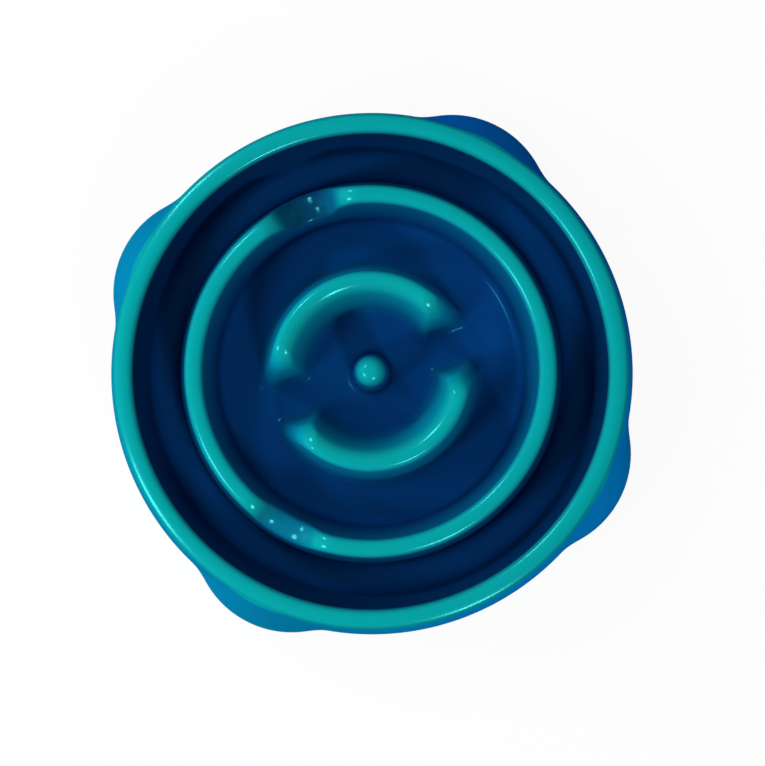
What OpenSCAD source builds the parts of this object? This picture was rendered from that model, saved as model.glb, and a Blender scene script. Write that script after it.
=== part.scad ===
// Slow feeder bowl: a thin-wall moulding with a ring ridge, two crescent ridges and a centre post,
// on four soft feet. The origin is on the table, under the middle of the bowl. +Z is up.

/* [Bowl] */
// Height of the rim above the table
bowl_h = 45; // [40:0.5:60]
// Height of the eating floor above the table
floor_h = 10; // [8.5:0.5:13]
// Wall thickness of the moulding
wall = 2.4; // [2:0.1:2.6]
// Width of the rim, seen from above
rim_w = 7.6; // [7:0.1:12]
// Draft of the skirt, degrees from upright
skirt_draft = 7.6; // [5:0.2:9]
// Draft of the basin wall, degrees from upright
basin_draft = 7; // [5:0.5:9]

/* [Base lobes] */
// How far each lobe stands out past the skirt's bottom edge
lobe_reach = 7; // [4:0.5:10]
// Radius of a lobe at its bottom edge
lobe_r = 40.7; // [34:0.1:44]
// Direction of the first lobe, degrees
lobe_angle = 45; // [40:1:50]

/* [Ring ridge] */
// Width of the outer channel between the rim and the ring's crest
outer_channel_w = 20.6; // [19:0.1:24]
// Width of the ring's crest
ring_w = 6.8; // [6.5:0.1:9]
// How far the ring's crest lies below the rim
ring_drop = 2; // [0.5:0.5:6]
// Draft of the ring's two sides, degrees from upright
ring_draft = 8.5; // [6:0.5:9]
// Direction of the back saddle, degrees
dip_back_angle = 93; // [80:1:100]
// How far the back saddle drops below the crest
dip_back_depth = 15; // [10:0.5:18]
// Width of the back saddle's bottom, along the ring
dip_back_w = 16; // [12:0.5:20]
// Slope of the back saddle's two sides, degrees from upright
dip_back_draft = 20; // [15:1:30]
// Direction of the front saddle, degrees
dip_front_angle = 223; // [210:0.5:230]
// How far the shallow front saddle drops below the crest
dip_front_depth = 8; // [5:0.5:12]
// Width of the front saddle's bottom, along the ring
dip_front_w = 14; // [10:0.5:18]
// Slope of the front saddle's two sides, degrees from upright
dip_front_draft = 44; // [35:1:50]

/* [Crescent ridges] */
// Diameter of the centre pocket, between the crests of the two crescents
pocket_d = 64.26; // [56:0.02:76]
// Width of the inner channel between the ring's crest and the crescents
inner_channel_w = 27.5; // [25:0.1:30]
// Width of a crescent's crest
crescent_w = 7.5; // [6.8:0.1:9]
// How far the crescents' crest lies below the rim
crescent_drop = 3; // [0.5:0.5:8]
// Draft of a crescent's outer side, degrees from upright
crescent_draft_out = 9; // [6:0.5:10]
// Draft of a crescent's inner side, degrees from upright
crescent_draft_in = 11.5; // [9:0.5:12]
// Width of the gap between the crescents at the floor
gap_w = 15; // [12:0.5:22]
// Draft of the crescents' ends, degrees from upright
gap_draft = 9.5; // [5:0.5:12]

/* [Centre post] */
// Diameter of the post at its shoulder
post_d = 12; // [11:0.2:14]
// How far the top of the post lies below the rim
post_drop = 4; // [2:0.5:10]
// Draft of the post, degrees from upright
post_draft = 4; // [2:0.5:6]

/* [Feet] */
// Diameter of a foot's pad
foot_d = 18; // [12:0.5:20]
// Thickness of a foot's pad, up to its landing
foot_t = 3; // [2:0.1:4]
// How far the feet hold the skirt above the table
foot_stand = 1; // [0.5:0.1:1.5]
// Diameter of a foot's push-in stem
stem_d = 5; // [4:0.1:6]
// Length of a foot's push-in stem
stem_l = 8; // [6:0.5:10]

/* [Hidden] */
// Rounding radii of the moulding's outer face
rim_out_r = 2.2;
rim_in_r = 3;
basin_floor_fillet = 4.5;
ring_crest_r = 2.6;
crescent_crest_r = 2.8;
ridge_foot_r = 4;
post_foot_r = 3;
post_dome_r = 5.4;
dip_shoulder_r = 12;
dip_foot_r = 12;
gap_shoulder_r = 11;
gap_foot_r = 4;
// Steps in a saddle's rounded foot and shoulder
bed_steps = 5;
shoulder_steps = 9;
// Share of the post's shoulder radius that its dome may take
dome_limit_share = 0.98;
// Share of a saddle's drafted side that its foot and its shoulder may each take
saddle_limit_share = 0.49;
// Share of a saddle's half bed that its rounded foot may take
bed_limit_share = 0.95;

// A saddle's shoulder crosses the crest this far up, so that it meets it at a slight angle
shoulder_lift = 0.1;
// Overrun of every cut
over = 1;

// Foot landing: clearances, walls and ribs under each lobe
stem_fit = 0.1;
stem_tip_l = 1.6;
stem_tip_in = 0.9;
hole_spare = 1.2;
boss_wall = 2;
rib_t = 1.8;
foot_margin = 3.5;
pad_edge_r = 0.8;
pad_top_in = 0.6;

// Radii of the moulding, from the centre out. The skirt's bottom edge comes out 216 across.
post_r = post_d / 2;
crescent_in_r = pocket_d / 2;
crescent_out_r = crescent_in_r + crescent_w;
ring_in_r = crescent_out_r + inner_channel_w;
ring_out_r = ring_in_r + ring_w;
basin_r = ring_out_r + outer_channel_w;
rim_r = basin_r + rim_w;
base_r = rim_r + (bowl_h - foot_stand) * tan(skirt_draft);

// Crest heights
ring_z = bowl_h - ring_drop;
crescent_z = bowl_h - crescent_drop;
post_z = bowl_h - post_drop;

// Lobes: cones whose outermost line runs from the table edge up to the rim
lobe_c = base_r + lobe_reach - lobe_r;
lobe_top_r = rim_r - lobe_c;
lobe_lean = atan((lobe_r - lobe_top_r) / (bowl_h - foot_stand));
lobe_angles = [for (k = [0:3]) lobe_angle + k * 90];

// Feet
foot_c = base_r + lobe_reach - wall - foot_margin - foot_d / 2;
stem_hole_r = stem_d / 2 + stem_fit / 2;
boss_r = stem_hole_r + boss_wall;

$fn = $preview ? 72 : 96;

// How much wider a drafted side gets over a drop
function spread(drop, draft) = drop * tan(draft);
function unit(v) = v / norm(v);
// Point where line p + s*d meets line q + t*e
function meet(p, d, q, e) = p + d * cross(q - p, e) / cross(d, e);
// Left-hand normal of a direction
function left(d) = [-d[1], d[0]];
function wrap(i, n) = (i + n) % n;

// Outline p with every side moved inwards by t; corners stay sharp
function inset(p, t) = let (n = len(p)) [for (i = [0:n - 1])
    let (a = p[wrap(i - 1, n)], b = p[i], c = p[wrap(i + 1, n)], d = unit(b - a), e = unit(c - b))
    meet(a + left(d) * t, d, b + left(e) * t, e)];

// Corner i of outline p, rounded with radius r: its two tangent points, centre and turn
function half_angle(u, v) = acos(max(-1, min(1, u * v))) / 2;
function rounding(p, i, r) = let (
    n = len(p), b = p[i],
    u = unit(p[wrap(i - 1, n)] - b), v = unit(p[wrap(i + 1, n)] - b),
    h = half_angle(u, v), t = r / tan(h))
    [b + u * t, b + v * t, b + unit(u + v) * r / sin(h), cross(-u, v)];

// Outline p, counter-clockwise, with corner i rounded to radius r[i]: true arcs, convex and concave
module rounded(p, r) {
    n = len(p);
    at = [for (i = [0:n - 1]) rounding(p, i, max(r[i], 0))];
    difference() {
        union() {
            polygon([for (i = [0:n - 1]) each (r[i] > 0 ? [at[i][0], at[i][1]] : [p[i]])]);
            for (i = [0:n - 1]) if (r[i] > 0 && at[i][3] > 0) translate(at[i][2]) circle(r[i]);
        }
        for (i = [0:n - 1]) if (r[i] > 0 && at[i][3] < 0) translate(at[i][2]) circle(r[i]);
    }
}

// Half section of the moulding's outer face, from the axis along the bottom and back over the top.
// Its ring and crescents are whole here; the saddles and gaps are cut afterwards.
ridge_run = [
    [ring_out_r + spread(ring_z - floor_h, ring_draft), floor_h],
    [ring_out_r, ring_z],
    [ring_in_r, ring_z],
    [ring_in_r - spread(ring_z - floor_h, ring_draft), floor_h],
    [crescent_out_r + spread(crescent_z - floor_h, crescent_draft_out), floor_h],
    [crescent_out_r, crescent_z],
    [crescent_in_r, crescent_z],
    [crescent_in_r - spread(crescent_z - floor_h, crescent_draft_in), floor_h],
    [post_r + spread(post_z - floor_h, post_draft), floor_h],
    [post_r, post_z]];
ridge_radii = [
    ridge_foot_r, ring_crest_r, ring_crest_r, ridge_foot_r,
    ridge_foot_r, crescent_crest_r, crescent_crest_r, ridge_foot_r,
    post_foot_r, min(post_dome_r, post_r * dome_limit_share)];
shell_run = [
    [base_r, foot_stand],
    [rim_r, bowl_h],
    [basin_r, bowl_h],
    [basin_r - spread(bowl_h - floor_h, basin_draft), floor_h]];
shell_radii = [0, rim_out_r, rim_in_r, basin_floor_fillet];

// The half section closed along a line at x = edge
function section(edge) = concat([[edge, foot_stand]], shell_run, ridge_run, [[edge, post_z]]);
section_radii = concat([0], shell_radii, ridge_radii, [0]);

// The underside follows the outer face one wall away, and is open at the bottom
module underside_section() {
    p = inset(section(-wall), wall);
    n = len(p);
    low = foot_stand - over;
    lean = p[1] - p[2];
    polygon(concat([[0, low], p[1] + lean * (p[1][1] - low) / -lean[1]], [for (i = [2:n - 1]) p[i]]));
}

// One lobe as a cone, moved inwards by t on its slanted side
module lobe_cone(angle, t) {
    low = foot_stand - (t > 0 ? over : 0);
    high = bowl_h - rim_out_r - t;
    side_r = lobe_r - t / cos(lobe_lean);
    rotate(angle) translate([lobe_c, 0, low])
        cylinder(h = high - low,
            r1 = side_r - spread(low - foot_stand, lobe_lean),
            r2 = side_r - spread(high - foot_stand, lobe_lean));
}

// What lies inside the basin wall, from below the bottom edge to above the rim; t moves it outwards
module basin_plug(t) {
    low = foot_stand - over * 2;
    high = bowl_h + over;
    side = t / cos(basin_draft);
    translate([0, 0, low]) cylinder(h = high - low,
        r1 = basin_r + side - spread(bowl_h - low, basin_draft),
        r2 = basin_r + side + spread(high - bowl_h, basin_draft));
}

module lobes(t, plug) {
    difference() {
        for (a = lobe_angles) lobe_cone(a, t);
        basin_plug(plug);
    }
}

// Points of an arc round c, from angle a0 to a1, in n steps
function arc(c, r, a0, a1, n) = [for (i = [0:n]) let (a = a0 + (a1 - a0) * i / n) c + r * [cos(a), sin(a)]];

// Right half of a saddle-shaped cut, seen along the ridge: bed, rounded foot, drafted side and rounded
// shoulder. half_w is half the bed's width between its sharp corners; t moves the outline outwards.
function saddle_half(half_w, bottom, top, draft, shoulder_r, bed_r, t) = let (
    round_share = tan(45 - draft / 2),
    limit_r = (top - bottom) * saddle_limit_share / (1 - sin(draft)),
    foot_r = min(bed_r, limit_r, half_w * bed_limit_share / round_share),
    crown_r = min(shoulder_r, limit_r),
    low_w = half_w + t / cos(draft) - t * tan(draft),
    lip = top - t + shoulder_lift,
    lip_w = low_w + spread(lip - bottom + t, draft),
    foot_c = [low_w - (foot_r + t) * round_share, bottom + foot_r],
    crown_c = [lip_w + (crown_r - t) * round_share, lip - crown_r + t])
    concat(arc(foot_c, foot_r + t, -90, -draft, bed_steps),
        arc(crown_c, crown_r - t, 180 - draft, 90, shoulder_steps),
        [[crown_c[0], top + over]]);

// The cut itself, across a ridge that runs along Y, from x0 to x1
module saddle(x0, x1, half) {
    n = len(half);
    translate([x0, 0, 0]) rotate([90, 0, 90]) linear_extrude(height = x1 - x0)
        polygon(concat(half, [for (i = [n - 1:-1:0]) [-half[i][0], half[i][1]]]));
}

// The two saddles in the ring
module dips(t) {
    mid_r = (ring_in_r + ring_out_r) / 2;
    reach = (crescent_out_r + ring_in_r) / 2;
    for (d = [
        [dip_back_angle, dip_back_w, dip_back_depth, dip_back_draft],
        [dip_front_angle, dip_front_w, dip_front_depth, dip_front_draft]])
        rotate(d[0]) saddle(reach, mid_r * 2 - reach,
            saddle_half(d[1] / 2, ring_z - d[2], ring_z, d[3], dip_shoulder_r, dip_foot_r, t));
}

// The two gaps between the crescents, cut down to the floor
module gaps(t) {
    near = post_r + spread(post_z - floor_h, post_draft) + post_foot_r;
    far = (crescent_out_r + ring_in_r) / 2;
    half = saddle_half(gap_w / 2, floor_h, crescent_z,
        gap_draft, gap_shoulder_r, gap_foot_r, t);
    for (a = [0, 180]) rotate(a) saddle(near, far, half);
}

// Boss and ribs that carry one foot, cut out of the hollow so that they join the walls round them
module landing() {
    translate([foot_c, 0, foot_t]) {
        cylinder(h = bowl_h, r = boss_r);
        translate([-foot_c + basin_r - spread(bowl_h - floor_h, basin_draft), -rib_t / 2, 0])
            cube([foot_c, rib_t, bowl_h]);
        translate([-rib_t / 2, -lobe_r, 0]) cube([rib_t, lobe_r * 2, bowl_h]);
    }
}

module stem_holes() {
    for (a = lobe_angles) rotate(a) translate([foot_c, 0, foot_t - over])
        cylinder(h = stem_l + hole_spare + over, r = stem_hole_r);
}

module outer_form() {
    difference() {
        // The dome's disc reaches past the axis, so the section is kept to one side of it
        rotate_extrude() intersection() {
            rounded(section(0), section_radii);
            square([base_r + over, bowl_h + over]);
        }
        dips(0);
        gaps(0);
    }
    lobes(0, wall / 2);
}

module hollow_form() {
    difference() {
        union() {
            difference() {
                rotate_extrude() underside_section();
                dips(wall);
                gaps(wall);
            }
            lobes(wall, wall);
        }
        for (a = lobe_angles) rotate(a) landing();
    }
}

module bowl() {
    color([0.01, 0.62, 0.64]) difference() {
        outer_form();
        hollow_form();
        stem_holes();
    }
}

// Soft foot: a pad under the landing and a stem up into the boss
module foot(angle) {
    pad_r = foot_d / 2;
    shaft_r = stem_d / 2;
    tip_z = foot_t + stem_l;
    color([0.10, 0.22, 0.30]) rotate(angle) translate([foot_c, 0, 0]) rotate_extrude()
        rounded([
                [0, 0], [pad_r, 0], [pad_r, foot_t - pad_top_in], [pad_r - pad_top_in, foot_t],
                [shaft_r, foot_t], [shaft_r, tip_z - stem_tip_l],
                [shaft_r - stem_tip_in, tip_z], [0, tip_z]],
            [0, pad_edge_r, 0, 0, 0, 0, 0, 0]);
}

module foot_back_right() { foot(lobe_angles[0]); }
module foot_back_left() { foot(lobe_angles[1]); }
module foot_front_left() { foot(lobe_angles[2]); }
module foot_front_right() { foot(lobe_angles[3]); }

bowl();
foot_front_right();
foot_front_left();
foot_back_left();
foot_back_right();
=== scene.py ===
"""Slow feeder bowl: a thin-wall moulding and four soft feet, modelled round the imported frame."""
import math
from contextlib import contextmanager
from types import SimpleNamespace

import bmesh
import bpy
from bpy.props import FloatProperty, FloatVectorProperty, IntProperty, PointerProperty
from bpy.types import Operator, Panel, PropertyGroup
from mathutils import Euler, Matrix, Vector


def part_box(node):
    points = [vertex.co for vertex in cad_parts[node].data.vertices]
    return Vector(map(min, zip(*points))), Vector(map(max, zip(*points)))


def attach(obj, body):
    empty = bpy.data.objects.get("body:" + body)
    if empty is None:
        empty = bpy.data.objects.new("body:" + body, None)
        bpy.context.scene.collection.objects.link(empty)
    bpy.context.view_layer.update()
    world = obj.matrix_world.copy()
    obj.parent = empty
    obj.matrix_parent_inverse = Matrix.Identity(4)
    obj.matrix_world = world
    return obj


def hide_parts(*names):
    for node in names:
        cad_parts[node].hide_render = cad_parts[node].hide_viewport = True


bl_info = {
    "name": "Slow Feeder Bowl",
    "version": (1, 0, 0),
    "blender": (4, 5, 0),
    "location": "3D View > Sidebar > Feeder",
    "description": "Models a slow feeder bowl with a maze of ridges on four soft feet",
    "category": "Add Mesh",
}

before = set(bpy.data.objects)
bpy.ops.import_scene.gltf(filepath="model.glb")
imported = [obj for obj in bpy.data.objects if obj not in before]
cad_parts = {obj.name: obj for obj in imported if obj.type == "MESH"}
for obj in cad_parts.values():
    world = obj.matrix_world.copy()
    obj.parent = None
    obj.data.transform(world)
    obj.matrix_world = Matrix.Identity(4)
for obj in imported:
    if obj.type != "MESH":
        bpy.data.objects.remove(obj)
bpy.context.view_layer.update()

MM = 0.001
FULL_TURN = 2 * math.pi
QUARTER_TURN = math.pi / 2
# Points closer together than this are merged, and edges flatter than this are shaded smoothly
SAME_PLACE, SMOOTH_ANGLE = 0.002 * MM, math.radians(40)
# Least rounding of a corner that lies one wall further in, and rounding of a foot's small corners
LEAST_R, FOOT_CORNER_R = 0.3 * MM, 0.4 * MM
# Most of a saddle's side that each of its roundings takes, and of half its bed that its foot takes
SIDE_SHARE, BED_SHARE = 0.49, 0.95
# Most of a crescent's width that its end's outer and inner corners take in plan
OUT_CORNER_SHARE, IN_CORNER_SHARE = 0.5, 0.3
# Most of the post's radius that its dome's rounding takes
DOME_SHARE = 0.98
# Rows on the straight part of the skirt, of a steep side, of the outer channel's floor, of a boss
SKIRT_ROWS, SIDE_ROWS, FLOOR_ROWS, BOSS_ROWS = 12, 3, 2, 12
# Rows on a crescent's foot fillet, its flank, its ends' rounding and its crest's rounding
FILLET_ROWS, FLANK_ROWS, END_ROWS, CREST_ROWS = 3, 2, 3, 5
# Steps along half a crescent, and round its end's outer and inner corners in plan
ALONG_STEPS, OUT_CORNER_STEPS, IN_CORNER_STEPS = 24, 4, 3


def length(name, description, millimetres):
    """A size property, given in millimetres and kept in metres."""
    return FloatProperty(
        name=name, description=description, default=millimetres * MM, unit="LENGTH")


def angle(name, description, degrees):
    """An angle property, given in degrees."""
    return FloatProperty(
        name=name, description=description, default=math.radians(degrees), unit="ROTATION")


def colour(name, description, rgb):
    """A linear colour property."""
    return FloatVectorProperty(
        name=name, description=description, default=rgb, subtype="COLOR", size=3, min=0, max=1)


def share(name, description, value):
    """A plain number from 0 to 1."""
    return FloatProperty(
        name=name, description=description, default=value, min=0, max=1, subtype="FACTOR")


def count(name, description, value):
    """A number of divisions round a form."""
    return IntProperty(name=name, description=description, default=value, min=3)


class MouldingSizes(PropertyGroup):
    """Sizes of the moulding. Its width and height come from the frame."""

    floor_h: length("Floor height", "Height of the eating floor above the table", 10)
    wall: length("Wall", "Thickness of the moulding", 2.4)
    rim_w: length("Rim width", "Width of the rim seen from above", 7.6)
    skirt_draft: angle("Skirt draft", "Lean of the skirt from upright", 7.6)
    basin_draft: angle("Basin draft", "Lean of the basin wall from upright", 7)
    rim_out_r: length("Rim outside", "Rounding of the rim's outer edge", 2.2)
    rim_in_r: length("Rim inside", "Rounding of the rim's inner edge", 3)
    crown: angle("Crown", "Fall of a crest's top towards its two edges", 15)
    crown_r: length("Crown rounding", "Rounding along the middle of a crest's top", 6.5)
    basin_foot_r: length("Basin foot", "Fillet between the basin wall and the floor", 4.5)
    lobe_reach: length("Lobe reach", "How far a lobe stands out past the skirt", 7)
    lobe_r: length("Lobe radius", "Radius of a lobe at the table", 40.7)
    lobe_angle: angle("Lobe direction", "Direction of the first lobe", 45)
    lobe_blend: length("Lobe blend", "Width of the soft corner between a lobe and the skirt", 2.4)
    outer_channel_w: length("Outer channel", "Between the rim and the ring's crest", 20.6)
    ring_w: length("Ring width", "Width of the ring's crest", 6.8)
    ring_drop: length("Ring drop", "How far the ring lies below the rim", 2)
    ring_draft: angle("Ring draft", "Lean of the ring's sides from upright", 8.5)
    ring_crest_r: length("Ring crest", "Rounding of the edges of the ring's crest", 2.6)
    back_dip: angle("Back saddle", "Direction of the back saddle", 93)
    back_dip_depth: length("Back saddle depth", "Drop of the back saddle below the crest", 15)
    back_dip_w: length("Back saddle width", "Width of its bottom along the ring", 16)
    back_dip_draft: angle("Back saddle draft", "Lean of its two sides from upright", 20)
    front_dip: angle("Front saddle", "Direction of the front saddle", 223)
    front_dip_depth: length("Front saddle depth", "Drop of the front saddle below the crest", 8)
    front_dip_w: length("Front saddle width", "Width of its bottom along the ring", 14)
    front_dip_draft: angle("Front saddle draft", "Lean of its two sides from upright", 44)
    dip_r: length("Saddle rounding", "Most that a saddle's foot and shoulder are rounded", 12)
    inner_channel_w: length("Inner channel", "Between the ring's crest and the crescents", 27.5)
    crescent_w: length("Crescent width", "Width of a crescent's crest", 7.5)
    crescent_drop: length("Crescent drop", "How far the crescents lie below the rim", 3)
    crescent_draft_out: angle("Crescent outer draft", "Lean of a crescent's outer side", 9)
    crescent_draft_in: angle("Crescent inner draft", "Lean of a crescent's inner side", 11.5)
    crescent_crest_r: length("Crescent crest", "Rounding of a crescent's outer crest edge", 2.8)
    crescent_inner_r: length("Crescent inner crest", "Rounding of its inner crest edge", 6)
    gap_w: length("Gap width", "Gap between the crescents at the floor", 15)
    gap_draft: angle("Gap draft", "Lean of the crescents' ends from upright", 9.5)
    end_r: length("End rounding", "Rounding of a crescent's end, seen from the side", 11)
    end_out_r: length("Outer end corner", "Rounding of an end's outer corner in plan", 4.5)
    end_in_r: length("Inner end corner", "Rounding of an end's inner corner in plan", 3)
    ridge_foot_r: length("Ridge foot", "Fillet between the ridges and the floor", 4)
    post_d: length("Post diameter", "Diameter of the post at its shoulder", 12)
    post_drop: length("Post drop", "How far the post lies below the rim", 4)
    post_draft: angle("Post draft", "Lean of the post's side from upright", 4)
    post_dome_r: length("Post dome", "Rounding of the post's top", 5.4)
    post_foot_r: length("Post foot", "Fillet between the post and the floor", 3)


class FootSizes(PropertyGroup):
    """Sizes of the soft feet and of what carries them. Their places come from the frame."""

    pad_t: length("Pad thickness", "Thickness of a foot's pad, up to its landing", 3)
    pad_edge_r: length("Pad edge", "Rounding of the pad's lower edge", 0.8)
    pad_top_in: length("Pad bevel", "Bevel of the pad's upper edge", 0.6)
    dimple_r: length("Dimple radius", "Radius of the hollow in the pad's underside", 4.5)
    dimple_h: length("Dimple height", "Height of the hollow in the pad's underside", 0.5)
    stem_d: length("Stem diameter", "Diameter of a foot's stem", 5)
    tip_l: length("Stem tip", "Length of the stem's tapered tip", 1.6)
    tip_in: length("Stem taper", "How much the tip's radius draws in", 0.9)
    stem_fit: length("Stem fit", "Clearance between the stem and its hole, across", 0.1)
    hole_spare: length("Hole spare", "How far a hole runs past its stem", 1.2)
    boss_wall: length("Boss wall", "Wall of the boss round a stem", 2)
    rib_t: length("Rib", "Thickness of the ribs beside a boss", 1.8)


class MeshDetail(PropertyGroup):
    """How finely the faces are divided."""

    columns: count("Columns", "Divisions round the moulding", 472)
    post_columns: count("Post columns", "Divisions round the post and the feet", 72)
    arc_step: angle("Arc step", "Turn from one row to the next on a rounded corner", 11)
    under_step: angle("Under step", "The same on the underside", 24)


class SurfaceLook(PropertyGroup):
    """Colours and gloss of the two materials. Apart from the crest, the plastic's colours are the
    same teal plastic with painted light and shade.
    """

    crest: colour("Crest", "Plastic at the rim and the crests", (0.001, 0.360, 0.378))
    # Painted shade: shallow, saddle and deep are the crest's plastic made darker and bluer the
    # lower a flat face lies
    shallow: colour("Shallow", "Flat plastic a quarter of the way down", (0.001, 0.175, 0.300))
    saddle: colour("Saddle", "Flat plastic near half-way down", (0.001, 0.046, 0.118))
    deep: colour("Deep", "Plastic on the channels' floor", (0.001, 0.054, 0.235))
    # Painted shade on steep sides: darker and bluer towards the floor, darkest on the basin wall
    basin: colour("Basin wall", "The basin wall just under the rim", (0.001, 0.026, 0.100))
    wall: colour("Ring wall", "The ring's steep sides under its crest", (0.001, 0.135, 0.270))
    wall_deep: colour("Wall foot", "Steep sides near the floor", (0.001, 0.042, 0.165))
    # Painted light and shade on the crescents' sides: lighter blue on the flanks and inner sides,
    # darker at the inner crest edge and near the floor
    flank: colour("Flank", "The crescents' outer sides under the crest", (0.001, 0.320, 0.500))
    flank_deep: colour("Flank foot", "The same sides near the floor", (0.001, 0.115, 0.285))
    shoulder: colour("Shoulder", "The crescents' inner crest edge", (0.001, 0.220, 0.300))
    inner: colour("Inner wall", "The crescents' inner sides under it", (0.001, 0.330, 0.450))
    inner_deep: colour("Inner foot", "The same sides near the floor", (0.001, 0.110, 0.270))
    # Painted light and shade round the skirt: bluer than the crest, darker at the back right and
    # bluer at the front right
    outside: colour("Outside", "Plastic low on the skirt and the lobes", (0.001, 0.190, 0.370))
    painted_shade_back_right: colour("Lee side", "The same plastic at the back right", (0.001, 0.105, 0.420))
    front: colour("Front side", "The same plastic at the front right", (0.001, 0.205, 0.560))
    # Painted shade: the underside is a darker, bluer copy of the plastic
    under: colour("Underside", "Plastic under the bowl", (0.001, 0.150, 0.250))
    mirror: colour("Mirror tint", "Tint of what the gloss plastic mirrors", (0.12, 1, 1))
    gloss: share("Plastic roughness", "Roughness of the moulding", 0.17)
    satin: share("Satin roughness", "Roughness of its satin parts", 0.6)
    dulled: share("Skirt satin", "How much of the skirt's outside is satin", 1.0)
    settled: share("Floor satin", "How much of the channels' floor is satin", 0.75)
    # Painted shade: this share of the saddles' left slopes is coloured as flat faces are
    eased: share("Eased slopes", "How much the saddles' left slopes pass as flat", 0.4)
    rubber: colour("Rubber", "Colour of the soft feet", (0.022, 0.052, 0.075))
    grip: share("Rubber roughness", "Roughness of the soft feet", 0.78)


def active(piece):
    """Makes piece the only selected object, and the active one."""
    bpy.ops.object.select_all(action="DESELECT")
    piece.select_set(True)
    bpy.context.view_layer.objects.active = piece


@contextmanager
def editing(piece, kind="VERT"):
    """Edit mode on piece, with nothing selected, picking verts, edges or faces."""
    active(piece)
    bpy.ops.object.mode_set(mode="EDIT")
    bpy.ops.mesh.select_mode(type=kind)
    bpy.ops.mesh.select_all(action="DESELECT")
    yield
    bpy.ops.object.mode_set(mode="OBJECT")


def add_mesh(name, points, edges=(), faces=()):
    """A new mesh object at the origin."""
    mesh = bpy.data.meshes.new(name)
    mesh.from_pydata(points, edges, faces)
    piece = bpy.data.objects.new(name, mesh)
    bpy.context.scene.collection.objects.link(piece)
    return piece


def copied(piece, name, place):
    """A copy with its own mesh, which is moved or turned by the matrix place."""
    twin = add_mesh(name, [])
    twin.data = piece.data.copy()
    twin.data.transform(place)
    return twin


def join(pieces):
    """Joins the pieces into the first one."""
    active(pieces[0])
    for piece in pieces:
        piece.select_set(True)
    bpy.ops.object.join()
    return pieces[0]


def close_up(piece):
    """Merges what touches, turns the faces outwards and shades the rounds smoothly."""
    with editing(piece):
        bpy.ops.mesh.select_all(action="SELECT")
        bpy.ops.mesh.remove_doubles(threshold=SAME_PLACE)
        bpy.ops.mesh.normals_make_consistent(inside=False)
    active(piece)
    bpy.ops.object.shade_smooth_by_angle(angle=SMOOTH_ANGLE)
    return piece


def spaced(first, last, steps):
    """Even values from first to last, both included."""
    return [first + (last - first) * k / steps for k in range(steps + 1)]


def rounded_run(corners, arc_step):
    """Points (radius, height) along a run, each inner corner rounded to an arc.

    A corner is a point, its rounding radius and the number of steps on the line up to it."""
    run = [corners[0][0]]
    for k in range(1, len(corners) - 1):
        point, radius, steps = corners[k]
        to_last = (corners[k - 1][0] - point).normalized()
        to_next = (corners[k + 1][0] - point).normalized()
        half = to_last.angle(to_next) / 2
        centre = point + (to_last + to_next).normalized() * radius / math.sin(half)
        start = point + to_last * radius / math.tan(half)
        turn = math.pi - 2 * half
        if to_last.cross(to_next) > 0:
            turn = -turn
        run += [run[-1].lerp(start, part) for part in spaced(0, 1, steps)[1:]]
        run += [centre + Matrix.Rotation(part, 2) @ (start - centre)
                for part in spaced(0, turn, math.ceil(abs(turn) / arc_step))[1:]]
    point, _, steps = corners[-1]
    last = run[-1]
    return run + [last.lerp(point, part) for part in spaced(0, 1, steps)[1:]]


def turned(name, run, columns):
    """The run spun round Z. Its point attribute row counts the points of the run."""
    edges = [(k, k + 1) for k in range(len(run) - 1)]
    piece = add_mesh(name, [(point.x, 0, point.y) for point in run], edges)
    row = piece.data.attributes.new("row", "INT", "POINT")
    row.data.foreach_set("value", range(len(run)))
    with editing(piece):
        bpy.ops.mesh.select_all(action="SELECT")
        bpy.ops.mesh.spin(steps=columns, angle=FULL_TURN, center=(0, 0, 0), axis=(0, 0, 1))
        bpy.ops.mesh.select_all(action="SELECT")
        bpy.ops.mesh.remove_doubles(threshold=SAME_PLACE)
    return piece


def lofted(name, loops):
    """Closed loops with the same number of points, joined one to the next."""
    size = len(loops[0])
    faces = [
        (low + k, low + (k + 1) % size, low + size + (k + 1) % size, low + size + k)
        for low in range(0, size * (len(loops) - 1), size) for k in range(size)]
    return add_mesh(name, [point for loop in loops for point in loop], (), faces)


def fill_open_loops(piece, above):
    """Fills the open edges that lie higher than above as one flat face with holes."""
    with editing(piece, "EDGE"):
        mesh = bmesh.from_edit_mesh(piece.data)
        for edge in mesh.edges:
            edge.select_set(edge.is_boundary and edge.verts[0].co.z > above)
        bmesh.update_edit_mesh(piece.data)
        bpy.ops.mesh.fill(use_beauty=True)


def spread(drop, draft):
    """How much wider a drafted side gets over a drop."""
    return drop * math.tan(draft)


def saddle_form(direction, width, depth, draft, most_r):
    """One saddle of the ring: its rounded foot and shoulder each take their share of its side."""
    half_w = width / 2
    turn = math.tan(math.pi / 4 - draft / 2)
    crown_r = min(most_r, depth * SIDE_SHARE / (1 - math.sin(draft)))
    foot_r = min(crown_r, half_w * BED_SHARE / turn)
    return SimpleNamespace(
        direction=direction, half_w=half_w, depth=depth, draft=draft, turn=turn, foot_r=foot_r,
        crown_r=crown_r, bed_x=half_w - foot_r * turn,
        crown_x=half_w + spread(depth, draft) + crown_r * turn)


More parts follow.
